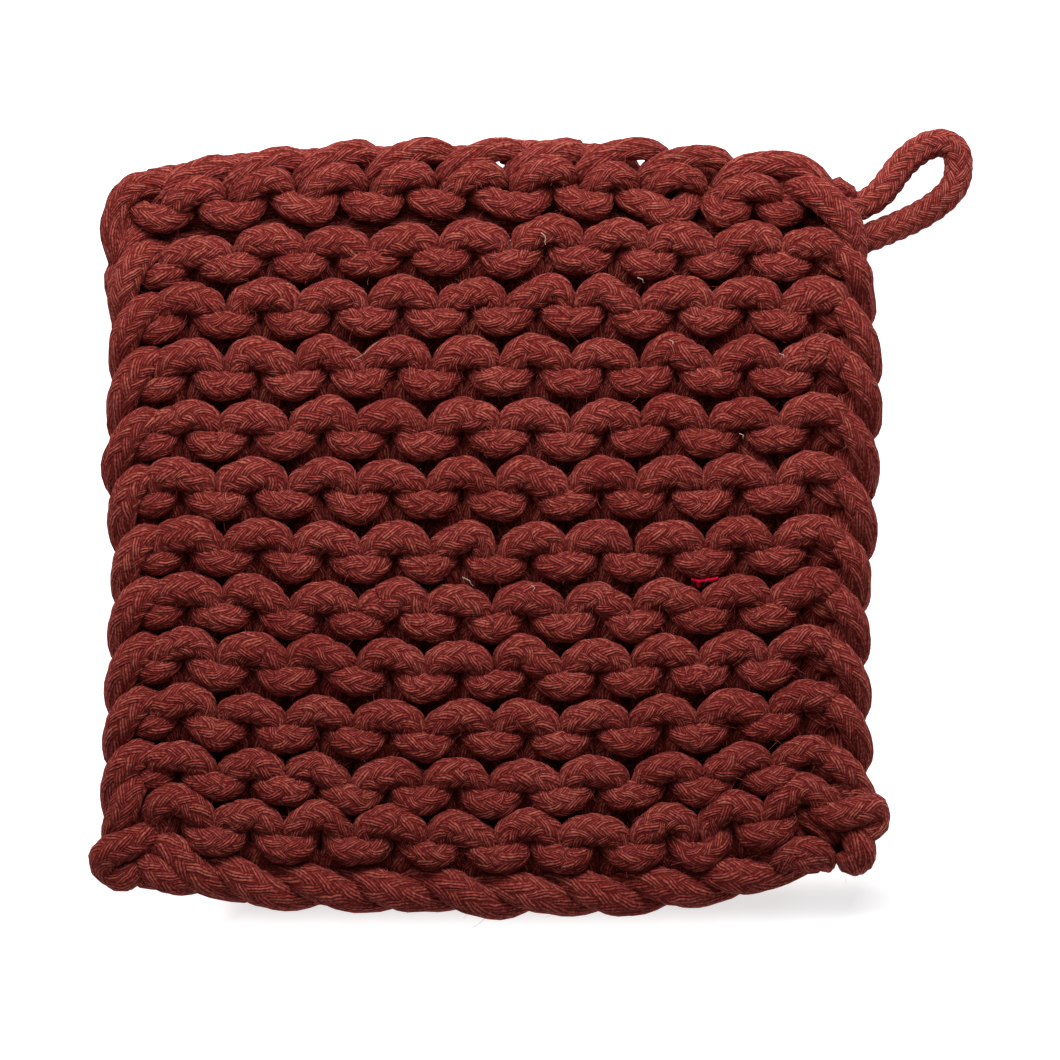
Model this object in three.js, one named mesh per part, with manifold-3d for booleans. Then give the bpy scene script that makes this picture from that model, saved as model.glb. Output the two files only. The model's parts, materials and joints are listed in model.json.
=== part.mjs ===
import * as THREE from 'three';
import { mergeVertices } from 'three/addons/utils/BufferGeometryUtils.js';
import Module from 'manifold-3d';

// A square trivet knitted in garter stitch from one thick braided cotton cord, lying flat with
// its front face up. All sizes are millimetres: x runs to the right, y to the top edge, z up.

const wasm = await Module();
wasm.setup();

// Driving sizes of the mat
const THICKNESS = 20;
const RIM_HEIGHT = THICKNESS / 2;
const ARCS = 10;
const FIRST_ARC = 1.1;
const LAST_ARC_TO_EDGE = 0.96;
const COLUMNS = FIRST_ARC + ARCS - 1 + LAST_ARC_TO_EDGE;
const RIDGES = 12;
const EDGE_JOINT = FIRST_ARC - 0.5;
const CORNER_NOTCH = 2.6;
const UNEVEN = 0.35;

// Driving sizes of the hanging loop, the tab and the gap that pieces keep
const LOOP_DIAMETER = 7.5;
const LOOP_SIDES = 10;
const LOOP_STEPS = 24;
const TAB = { width: 7, thickness: 1, height: 5, course: 6.8, column: 8.62, base: 11.9 };
const TAB_LEAN = 0.3;
const CLEARANCE = 0.3;

// The mat's courses, from its top edge to its bottom one. A course is one ridge of the knitting.
// y is taken at the middle of the mat, each drop is how much lower that end of the course lies,
// and the edges are the x of its two ends.
const COURSES = [
  { course: -0.57, y: 100.8, leftDrop: 7.8, rightDrop: 5.8, leftEdge: -99.6, rightEdge: 73.9 },
  { course: -0.38, y: 97.7, leftDrop: 6.9, rightDrop: 6.5, leftEdge: -105.6, rightEdge: 79.9 },
  { course: 0, y: 91.8, leftDrop: 5.2, rightDrop: 6.3, leftEdge: -111.1, rightEdge: 84.9 },
  { course: 1, y: 76.1, leftDrop: 5.2, rightDrop: 3.4, leftEdge: -111.9, rightEdge: 89.0 },
  { course: 2, y: 60.7, leftDrop: 2.6, rightDrop: 1.0, leftEdge: -111.1, rightEdge: 89.5 },
  { course: 3, y: 45.1, leftDrop: 2.1, rightDrop: 0.5, leftEdge: -109.9, rightEdge: 91.4 },
  { course: 4, y: 28.6, leftDrop: 1.0, rightDrop: -1.6, leftEdge: -110.2, rightEdge: 92.0 },
  { course: 5, y: 13.0, leftDrop: 0.0, rightDrop: -2.6, leftEdge: -111.0, rightEdge: 91.1 },
  { course: 6, y: -3.8, leftDrop: -2.1, rightDrop: -3.1, leftEdge: -110.0, rightEdge: 90.4 },
  { course: 7, y: -19.8, leftDrop: -4.4, rightDrop: -5.2, leftEdge: -109.0, rightEdge: 88.8 },
  { course: 8, y: -34.5, leftDrop: -5.0, rightDrop: -5.8, leftEdge: -110.6, rightEdge: 88.8 },
  { course: 9, y: -50.4, leftDrop: -6.4, rightDrop: -7.7, leftEdge: -111.1, rightEdge: 88.7 },
  { course: 10, y: -65.6, leftDrop: -7.6, rightDrop: -9.2, leftEdge: -111.6, rightEdge: 88.9 },
  { course: 11, y: -79.8, leftDrop: -8.9, rightDrop: -10.2, leftEdge: -112.0, rightEdge: 90.5 },
  { course: 11.5, y: -87.1, leftDrop: -5.2, rightDrop: -10.5, leftEdge: -111.9, rightEdge: 94.3 },
  { course: 12, y: -94.5, leftDrop: -6.1, rightDrop: -10.8, leftEdge: -115.8, rightEdge: 91.0 },
  { course: 12.25, y: -98.8, leftDrop: -5.4, rightDrop: -9.9, leftEdge: -112.4, rightEdge: 89.3 },
  { course: 12.5, y: -103.4, leftDrop: -6.8, rightDrop: -11, leftEdge: -108.9, rightEdge: 84.7 },
];

// The six lines that cross a ridge, from the valley above it down: the upper row of arcs has two
// crest lines, then a crease, then the lower row's two. at is a line's place between this course
// and the next, and z its height, on a stitch and where two stitches meet. shift moves the
// stitches by half a width in the lower row. The edge stitch's crest lies edgeIn from either
// side at the height edgeZ, and cusp is how far the outline draws in.
const RIDGE_LINES = [
  { form: 'crease', at: -0.28, z: 13.5, jointAt: -0.17, jointZ: 10.8, shift: 0,
    edgeIn: 0.26, edgeZ: 13.5, cusp: 1.6 },
  { form: 'arcs', at: -0.14, z: 20, jointAt: 0.02, jointZ: 15.5, shift: 0,
    edgeIn: 0.32, edgeZ: 16.6, cusp: 0.6 },
  { form: 'arcs', at: 0.12, z: 20, jointAt: 0.21, jointZ: 16, shift: 0,
    edgeIn: 0.28, edgeZ: 17.8, cusp: 0 },
  { form: 'crease', at: 0.3, z: 11.5, jointAt: 0.29, jointZ: 13.5, shift: 0,
    edgeIn: 0.25, edgeZ: 18, cusp: 0 },
  { form: 'arcs', at: 0.38, z: 19.3, jointAt: 0.35, jointZ: 14, shift: 0.5,
    edgeIn: 0.22, edgeZ: 17.5, cusp: 0.2 },
  { form: 'arcs', at: 0.6, z: 19.3, jointAt: 0.52, jointZ: 14.5, shift: 0.5,
    edgeIn: 0.18, edgeZ: 16, cusp: 0.9 },
];

// Lines of the bind-off chain above the first ridge and of the cast-on edge below the last one.
// The outermost line on either side is the rim, which both faces share.
const TOP_RIM = { form: 'arcs', at: -0.57, z: RIM_HEIGHT, jointAt: -0.52, jointZ: RIM_HEIGHT,
  shift: 0.3, edgeIn: 0.3, edgeZ: RIM_HEIGHT, cusp: 0 };
const BIND_OFF = { form: 'arcs', at: -0.4, z: 17.2, jointAt: -0.37, jointZ: 13.5,
  shift: 0.3, edgeIn: 0.25, edgeZ: 15.5, cusp: 0 };
const CAST_ON_LINES = [
  { form: 'arcs', at: 11.93, z: 17.4, jointAt: 11.95, jointZ: 13.5, shift: 0.25,
    edgeIn: 0.4, edgeZ: 17, cusp: 0 },
  { form: 'arcs', at: 12.22, z: 15.2, jointAt: 12.2, jointZ: 12.5, shift: 0.4,
    edgeIn: 0.4, edgeZ: 15, cusp: 0 },
];
const BOTTOM_RIM = { form: 'arcs', at: 12.5, z: RIM_HEIGHT, jointAt: 12.43, jointZ: RIM_HEIGHT,
  shift: 0.4, edgeIn: 0.3, edgeZ: RIM_HEIGHT, cusp: 0 };
const LINES_ON_HALF_A_RIDGE = RIDGE_LINES.length / 2;

// The middle of the hanging loop's cord, from where it leaves the corner round to where it
// comes back. It droops from the corner to the surface that the mat lies on.
const LOOP_ROUTE = [
  { x: 82.4, y: 81.2, z: 10.4 },
  { x: 85.7, y: 82.7, z: 10.2 },
  { x: 90.1, y: 84.9, z: 9.4 },
  { x: 93.5, y: 88.3, z: 8.3 },
  { x: 96.9, y: 92.7, z: 6.8 },
  { x: 100.6, y: 96.2, z: 5.4 },
  { x: 105.1, y: 98.8, z: 4.3 },
  { x: 108.8, y: 99.2, z: 3.9 },
  { x: 111.5, y: 97.4, z: 3.8 },
  { x: 112.3, y: 93.8, z: 3.8 },
  { x: 111.6, y: 89.6, z: 3.8 },
  { x: 109.3, y: 85.7, z: 3.9 },
  { x: 105.2, y: 82.0, z: 4.3 },
  { x: 100.2, y: 79.2, z: 5.2 },
  { x: 95.8, y: 77.2, z: 6.6 },
  { x: 91.2, y: 75.3, z: 8.0 },
  { x: 87.0, y: 74.2, z: 8.8 },
  { x: 83.6, y: 73.6, z: 9.0 },
];

// Finish of each piece
const cordMaterial = new THREE.MeshStandardMaterial({ color: 0x8e3f38, roughness: 0.95, metalness: 0 });
const tabMaterial = new THREE.MeshStandardMaterial({ color: 0xb3122e, roughness: 0.8, metalness: 0 });

// The course table's values at any place between two courses
function courseAt(course) {
  const last = COURSES.length - 1;
  const above = COURSES.findIndex((row, index) => index === last - 1 || COURSES[index + 1].course > course);
  const from = COURSES[above];
  const to = COURSES[above + 1];
  const share = (course - from.course) / (to.course - from.course);
  const mix = (name) => THREE.MathUtils.lerp(from[name], to[name], share);
  return {
    y: mix('y'),
    leftDrop: mix('leftDrop'),
    rightDrop: mix('rightDrop'),
    leftEdge: mix('leftEdge'),
    rightEdge: mix('rightEdge'),
  };
}

// A point of the fabric: course counts ridges down from the top, column counts stitches from the left
function place(course, column, z) {
  const row = courseAt(course);
  const across = column / COLUMNS;
  const side = 2 * across - 1;
  const drop = (side < 0 ? row.leftDrop : row.rightDrop) * side * side;
  const inside = 1 - side ** 8;
  const x = THREE.MathUtils.lerp(row.leftEdge, row.rightEdge, across);
  return new THREE.Vector3(
    x + inside * UNEVEN * Math.sin(1.9 * course + 0.8 * column),
    row.y - drop + inside * UNEVEN * Math.sin(2.7 * column + 1.3 * course),
    z,
  );
}

// The points inside the rim of one line of the mat, from its left end to its right one
function innerSamples(line, course) {
  const samples = [{ column: line.edgeIn, at: course + line.at, z: line.edgeZ }];
  for (let arc = -1; arc < ARCS; arc += 1) {
    const middle = FIRST_ARC + line.shift + arc;
    const last = COLUMNS - line.edgeIn;
    const crests = line.form === 'arcs' ? [-0.25, 0.25] : [0];
    for (const crest of crests) {
      if (middle + crest > EDGE_JOINT && middle + crest < last) {
        samples.push({ column: middle + crest, at: course + line.at, z: line.z });
      }
    }
    const joint = middle + 0.5;
    if (joint >= EDGE_JOINT && joint < last) {
      samples.push({ column: joint, at: course + line.jointAt, z: line.jointZ });
    }
  }
  samples.push({ column: COLUMNS - line.edgeIn, at: course + line.at, z: line.edgeZ });
  return samples;
}

// Every line of the mat from the top rim down: what the front face and the back face have there.
// The back's ridges lie half a ridge lower than the front's, so its lines come three further on.
function matLines() {
  const lines = [];
  lines.push({ front: BIND_OFF, back: BIND_OFF, frontCourse: 0, backCourse: 0 });
  for (let course = 0; course < RIDGES; course += 1) {
    RIDGE_LINES.forEach((line, index) => {
      const upperHalf = index < LINES_ON_HALF_A_RIDGE;
      const step = upperHalf ? LINES_ON_HALF_A_RIDGE : -LINES_ON_HALF_A_RIDGE;
      lines.push({
        front: line,
        back: RIDGE_LINES[index + step],
        frontCourse: course,
        backCourse: upperHalf ? course - 0.5 : course + 0.5,
      });
    });
  }
  const valley = RIDGE_LINES[0];
  lines.push({ front: valley, back: valley, frontCourse: RIDGES, backCourse: RIDGES });
  for (const line of CAST_ON_LINES) {
    lines.push({ front: line, back: line, frontCourse: 0, backCourse: 0 });
  }
  return lines;
}

// Triangles between two neighbouring lines of points, whatever their numbers of points are. Each
// step along either line takes the shorter of the two edges that can come next.
function bridge(upper, lower, points, triangles, facesUp) {
  const reach = (from, to) => (from === undefined || to === undefined ? Infinity : points[from].distanceTo(points[to]));
  let i = 0;
  let j = 0;
  while (i < upper.length - 1 || j < lower.length - 1) {
    const upperNext = reach(upper[i + 1], lower[j]) <= reach(upper[i], lower[j + 1]);
    const corner = upperNext ? upper[i + 1] : lower[j + 1];
    const triangle = facesUp ? [upper[i], lower[j], corner] : [lower[j], upper[i], corner];
    triangles.push(...triangle);
    if (upperNext) {
      i += 1;
    } else {
      j += 1;
    }
  }
}

// The knitted mat: a front and a back net of lines, which meet in the rim at half height
function makeMat() {
  const points = [];
  const triangles = [];
  const addPoint = (point) => points.push(point) - 1;
  const addSamples = (samples, under) => samples.map((sample) => {
    const z = under ? THICKNESS - sample.z : sample.z;
    return addPoint(place(sample.at, sample.column, z));
  });
  const addEnds = (course, cusp) => {
    const left = place(course, 0, RIM_HEIGHT);
    const right = place(course, COLUMNS, RIM_HEIGHT);
    left.x += cusp;
    right.x -= cusp;
    return { left: addPoint(left), right: addPoint(right) };
  };
  const addRim = (rim, notch) => {
    const ends = addEnds(rim.at, 0);
    const inner = addSamples(innerSamples(rim, 0), false);
    points[inner[1]].y += notch;
    points[inner[inner.length - 2]].y += notch;
    const line = [ends.left, ...inner, ends.right];
    return { front: line, back: line };
  };

  const nets = [addRim(TOP_RIM, 0)];
  for (const line of matLines()) {
    const ends = addEnds(line.frontCourse + line.front.at, line.front.cusp);
    const front = addSamples(innerSamples(line.front, line.frontCourse), false);
    const back = addSamples(innerSamples(line.back, line.backCourse), true);
    nets.push({
      front: [ends.left, ...front, ends.right],
      back: [ends.left, ...back, ends.right],
    });
  }
  nets.push(addRim(BOTTOM_RIM, CORNER_NOTCH));

  for (let index = 0; index < nets.length - 1; index += 1) {
    bridge(nets[index].front, nets[index + 1].front, points, triangles, true);
    bridge(nets[index].back, nets[index + 1].back, points, triangles, false);
  }
  const geometry = new THREE.BufferGeometry().setFromPoints(points);
  geometry.setIndex(triangles);
  return geometry;
}

// A closed geometry as a solid that can be cut
function toSolid(geometry) {
  const bare = geometry.clone();
  bare.deleteAttribute('normal');
  bare.deleteAttribute('uv');
  const merged = mergeVertices(bare, 1e-4);
  const mesh = new wasm.Mesh({
    numProp: 3,
    vertProperties: new Float32Array(merged.attributes.position.array),
    triVerts: new Uint32Array(merged.index.array),
  });
  return new wasm.Manifold(mesh);
}

// A cut solid as a geometry again
function toGeometry(solid) {
  const mesh = solid.getMesh();
  const geometry = new THREE.BufferGeometry();
  geometry.setAttribute('position', new THREE.Float32BufferAttribute(Array.from(mesh.vertProperties), 3));
  geometry.setIndex(Array.from(mesh.triVerts));
  return geometry;
}

// Cuts a piece back from its neighbour, so that it keeps the clearance on every side
function clearOf(geometry, neighbour) {
  const shifts = [
    [0, 0, 0], [CLEARANCE, 0, 0], [-CLEARANCE, 0, 0], [0, CLEARANCE, 0],
    [0, -CLEARANCE, 0], [0, 0, CLEARANCE], [0, 0, -CLEARANCE],
  ];
  let solid = toSolid(geometry);
  for (const shift of shifts) {
    solid = solid.subtract(toSolid(neighbour.clone().translate(...shift)));
  }
  return toGeometry(largestBody(solid));
}

// The biggest of the bodies that a cut has left
function largestBody(solid) {
  const bodies = solid.decompose();
  return bodies.reduce((best, body) => (body.volume() > best.volume() ? body : best));
}

// The hanging loop: a round cord along its route
function makeLoop() {
  const route = new THREE.CatmullRomCurve3(LOOP_ROUTE.map((point) => new THREE.Vector3(point.x, point.y, point.z)));
  const section = new THREE.Shape();
  for (let side = 0; side < LOOP_SIDES; side += 1) {
    const angle = (2 * Math.PI * side) / LOOP_SIDES;
    const x = (LOOP_DIAMETER / 2) * Math.cos(angle);
    const y = (LOOP_DIAMETER / 2) * Math.sin(angle);
    if (side === 0) {
      section.moveTo(x, y);
    } else {
      section.lineTo(x, y);
    }
  }
  section.closePath();
  return new THREE.ExtrudeGeometry(section, { steps: LOOP_STEPS, extrudePath: route });
}

// The tab: a small plain piece of ribbon that stands in the valley between two ridges
function makeTab() {
  const tab = new THREE.BoxGeometry(TAB.width, TAB.thickness, TAB.height);
  const foot = place(TAB.course, TAB.column, TAB.base);
  tab.rotateX(TAB_LEAN);
  tab.translate(foot.x, foot.y, foot.z + TAB.height / 2);
  return tab;
}

function addPiece(group, name, geometry, material) {
  const flat = geometry.index ? geometry.toNonIndexed() : geometry;
  flat.computeVertexNormals();
  const mesh = new THREE.Mesh(flat, material);
  mesh.name = name;
  group.add(mesh);
}

// The whole trivet, with its origin under the middle of its outer box
const trivet = new THREE.Group();
const matGeometry = makeMat();
addPiece(trivet, 'knitted_mat', matGeometry, cordMaterial);
addPiece(trivet, 'hanging_loop', clearOf(makeLoop(), matGeometry), cordMaterial);
addPiece(trivet, 'label_tab', clearOf(makeTab(), matGeometry), tabMaterial);
const outer = new THREE.Box3().setFromObject(trivet);
const centre = outer.getCenter(new THREE.Vector3());
trivet.position.set(-centre.x, -centre.y, -outer.min.z);

export default trivet;
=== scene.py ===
import json
import math

import bpy
import numpy as np
from bpy.props import FloatProperty, FloatVectorProperty, IntProperty, PointerProperty
from bpy.types import Operator, Panel, PropertyGroup
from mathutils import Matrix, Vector

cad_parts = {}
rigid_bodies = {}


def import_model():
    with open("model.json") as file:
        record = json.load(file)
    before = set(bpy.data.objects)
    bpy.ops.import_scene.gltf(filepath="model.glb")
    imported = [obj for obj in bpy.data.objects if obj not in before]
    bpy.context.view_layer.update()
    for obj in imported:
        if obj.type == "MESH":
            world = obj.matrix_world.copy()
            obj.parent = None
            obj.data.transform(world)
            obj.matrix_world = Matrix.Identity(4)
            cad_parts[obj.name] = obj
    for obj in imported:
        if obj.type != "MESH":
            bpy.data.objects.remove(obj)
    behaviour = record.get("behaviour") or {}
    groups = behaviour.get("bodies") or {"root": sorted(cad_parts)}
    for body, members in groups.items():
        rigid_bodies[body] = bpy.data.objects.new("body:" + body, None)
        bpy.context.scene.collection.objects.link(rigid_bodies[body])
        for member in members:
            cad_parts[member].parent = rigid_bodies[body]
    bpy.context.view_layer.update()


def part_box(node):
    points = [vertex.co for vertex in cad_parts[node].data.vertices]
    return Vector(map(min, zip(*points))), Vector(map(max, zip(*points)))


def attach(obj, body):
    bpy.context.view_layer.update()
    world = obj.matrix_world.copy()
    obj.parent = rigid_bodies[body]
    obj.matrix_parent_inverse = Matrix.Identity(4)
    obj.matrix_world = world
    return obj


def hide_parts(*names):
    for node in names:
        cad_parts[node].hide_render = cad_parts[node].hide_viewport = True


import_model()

bl_info = {
    "name": "Knitted cord trivet",
    "version": (1, 0, 0),
    "blender": (4, 5, 0),
    "location": "3D View > Sidebar > Trivet",
    "description": "Builds a square trivet knitted from thick braided cord, with a hanging loop and a tab",
    "category": "Object",
}

MM = 0.001
# A whole turn in radians, close enough for a random one
ANY_TURN = 6.28

# Every table is in mm. Its zero lies a little off the middle of the finished box.
MIDDLE = np.array([-0.311, 0.364, 0.0])

# Rows of stitches from the top edge down: course, y in the middle, drop at the left and right
# end, and x of the left and right edge
COURSES = np.array((
    (-0.57, 100.8, 7.8, 5.8, -99.6, 73.9),
    (-0.38, 97.7, 6.9, 6.5, -105.6, 79.9),
    (0, 91.8, 5.2, 6.3, -111.1, 84.9),
    (1, 76.1, 5.2, 3.4, -111.9, 89.0),
    (2, 60.7, 2.6, 1.0, -111.1, 89.5),
    (3, 45.1, 2.1, 0.5, -109.9, 91.4),
    (4, 28.6, 1.0, -1.6, -110.6, 92.0),
    (5, 13.0, 0, -2.6, -111.8, 91.1),
    (6, -3.8, -2.1, -3.1, -109.7, 90.4),
    (7, -19.8, -4.4, -5.2, -109.2, 88.8),
    (8, -34.5, -5.0, -5.8, -110.1, 88.8),
    (9, -50.4, -6.4, -7.7, -110.8, 88.7),
    (10, -65.6, -7.6, -9.2, -111.4, 88.9),
    (11, -79.8, -8.9, -10.2, -112.1, 90.5),
    (11.5, -87.1, -5.2, -10.5, -111.9, 94.3),
    (12, -94.5, -6.1, -10.8, -115.8, 91.0),
    (12.25, -98.8, -5.4, -9.9, -112.4, 89.3),
    (12.5, -103.4, -6.8, -11.0, -108.9, 84.7),
))
COLUMNS = 11.06
STITCHES = 10
FIRST_STITCH = 1.1
RIDGES = 12
RIDGES_A_PIECE = 3
THICKNESS = 20.0
HALF = THICKNESS / 2
UNEVEN = 0.35

# How far the stitches of the first courses lean over to the right: courses, then columns
LEAN = ((0.9, 0.95, 1.5, 2, 2.5, 3, 4), (0.0, 0.32, 0.22, 0.2, 0.09, 0.04, 0.0))

# Where single stitches are pulled aside: course, column, mm to the right, mm up
TUGS = np.array((
    (1, 1.1, 0, -2.0), (1, 2.1, 1.8, -0.5), (1, 3.1, 0, -1.3), (1, 4.1, 0, -1.8), (1, 5.1, 0, -0.8),
    (1, 6.1, 0, 0.8), (1, 8.1, -1.3, 0), (1, 9.1, -2.1, 0), (1, 10.1, -2.6, 0),
    (11, 1.1, 0, 2.4), (11, 3.1, 0, 2.1), (11, 4.1, 0, 1.6), (11, 6.1, -0.6, 1.3),
    (11, 7.1, -2.9, -1.3), (11, 8.1, -2.9, 0.5), (11, 9.1, -3.0, 1.6), (11, 10.1, -3.6, 3.4),
    (11.5, 1.6, 0, 1.6), (11.5, 2.6, 0, 0.5), (11.5, 3.6, 0, 1.0), (11.5, 6.6, -2.4, -1.4),
    (11.5, 7.6, -1.5, -1.2), (11.5, 8.6, -3.4, -3.4), (11.5, 9.6, -5.0, 0.2),
    (2.0, 10.9, -0.9, 1.5), (6.5, 10.9, 0.6, 0),
))
TUG_COURSES = 0.35
TUG_COLUMNS = 0.45

# Half a stitch, from the middle of the sinker, the loop below and between two stitches, to the
# middle of its own head: columns from its own middle, share of the row's height, mm from the
# mat's middle, cord radius
HALF_STITCH = (
    (-0.370, 0.010, 5.95, 4.05),
    (-0.272, 0.070, 5.0, 3.75),
    (-0.205, 0.215, 2.4, 4.0),
    (-0.172, 0.430, 0.0, 4.15),
    (-0.270, 0.610, -2.0, 3.8),
    (-0.350, 0.750, -4.2, 3.65),
    (-0.290, 0.878, -5.5, 4.1),
    (-0.154, 0.955, -5.95, 4.4),
)
# Shares of the row's height where the sinker ends, the legs stop spreading and the head begins
SINKER_SHARE = 0.1
LEG_SHARE = 0.3
HEAD_SHARE = 0.7
SINKER_HEIGHT = 6.1
SINKER_RADIUS = 4.1
HEAD_HEIGHT = -6.0
HEAD_RADIUS = 4.55
# How much one differs from the next: a stitch in the cord's radius as a share, in mm of height, in
# columns to the side and in courses of slant, a sinker in course, height and radius, and a single
# point in place and in radius
STITCH_SPREAD = (0.05, 0.3, 0.014, 0.04)
SINKER_SPREAD = (0.02, 0.2, 0.03)
POINT_SPREAD = 0.25
RADIUS_SPREAD = 0.025

# The kinds of row. face is 1 with the sinkers on the front, and -1 with the heads there. tilt is
# how far a sinker slopes, in courses for each column. Heads and sinkers are columns, and courses
# are counted from the row's own. The cord that leads into the first stitch and out of the last
# one has columns, courses, heights above the table and radii.
HEADS = [FIRST_STITCH + i for i in range(STITCHES)]
SINKERS = [FIRST_STITCH + 0.5 + i for i in range(STITCHES - 1)]
BACK_ROW = {
    "face": -1, "tilt": 0.0,
    "heads": HEADS, "head_course": 0, "sinkers": SINKERS, "sinker_course": 1.03,
    "lead_in": ((0.40, 1.03, 10.5, 2.6), (0.58, 1.01, 5.8, 3.3), (0.74, 0.97, 4.2, 3.4)),
    "lead_out": ((10.45, 0.97, 5.5, 3.3), (10.58, 1.0, 8.0, 2.8)),
}
FRONT_ROW = {
    "face": 1, "tilt": 0.0,
    "heads": HEADS, "head_course": -0.45, "sinkers": SINKERS, "sinker_course": 0.53,
    "lead_in": ((0.40, 0.60, 10.0, 2.8), (0.58, 0.58, 14.0, 3.5), (0.74, 0.54, 15.4, 3.8)),
    "lead_out": ((10.46, 0.51, 12.9, 3.3), (10.6, 0.55, 9.5, 2.8)),
}
LAST_FRONT_ROW = {
    **FRONT_ROW,
    "lead_in": ((0.50, 0.60, 8.0, 2.8), (0.64, 0.58, 8.5, 3.2), (0.80, 0.54, 9.5, 3.4)),
}
TOP_FRONT_ROW = {
    "face": 1, "tilt": 0.16,
    "heads": (1.3, 2.38, 3.45, 4.4, 5.3, 6.6, 7.4, 8.8, 9.5), "head_course": -0.2,
    "sinkers": (1.8, 2.96, 3.93, 4.9, 6.0, 7.05, 8.04, 8.95), "sinker_course": 0.57,
    "lead_in": ((0.45, 0.36, 10.5, 2.8), (0.56, 0.44, 14.8, 3.5), (0.8, 0.55, 16.2, 4.0)),
    "lead_out": ((9.8, 0.56, 14.8, 3.7), (10.05, 0.5, 12.6, 3.3), (10.2, 0.4, 10.0, 2.8)),
}

# The cord's end, worked in between the two faces of the second piece: x, y, z, radius
CORD_END = (
    (50, 27, 10, 2.8), (55, 23.2, 10, 3.5), (60, 16, 10, 3.5), (63.9, 10, 10, 3.6), (68, 5, 10, 2.8),
)
CORD_END_PIECE = 1

# Turn of the cord from one row to the next at either side: column, course from the row's own,
# height above the table, cord radius. Points above THICK_ABOVE vary in thickness.
LEFT_TURN = (
    (0.76, 0.14, 9.0, 3.0), (0.65, 0.10, 13.2, 3.8), (0.50, 0.12, 15.6, 4.4), (0.35, 0.31, 16.0, 4.6),
    (0.25, 0.55, 15.3, 4.5), (0.18, 0.82, 13.0, 4.2), (0.17, 1.07, 10.0, 4.0), (0.21, 1.29, 6.8, 3.9),
    (0.36, 1.42, 4.2, 3.8), (0.55, 1.46, 4.6, 3.6), (0.75, 1.52, 8.5, 3.0),
)
RIGHT_TURN = (
    (10.36, 0.30, 9.0, 2.8), (10.44, 0.22, 12.8, 3.5), (10.55, 0.27, 15.2, 4.0), (10.69, 0.45, 15.8, 4.1),
    (10.81, 0.70, 14.8, 4.0), (10.89, 0.97, 12.2, 3.9), (10.91, 1.22, 8.8, 3.8), (10.86, 1.44, 5.4, 3.8),
    (10.64, 1.58, 4.2, 3.6), (10.38, 1.60, 7.0, 3.0),
)
THICK_ABOVE = 15
# Column and cord radius of the inner turns at either side, deep between the faces
INNER_TURNS = ((0.53, 3.6), (10.58, 4.0))

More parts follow.
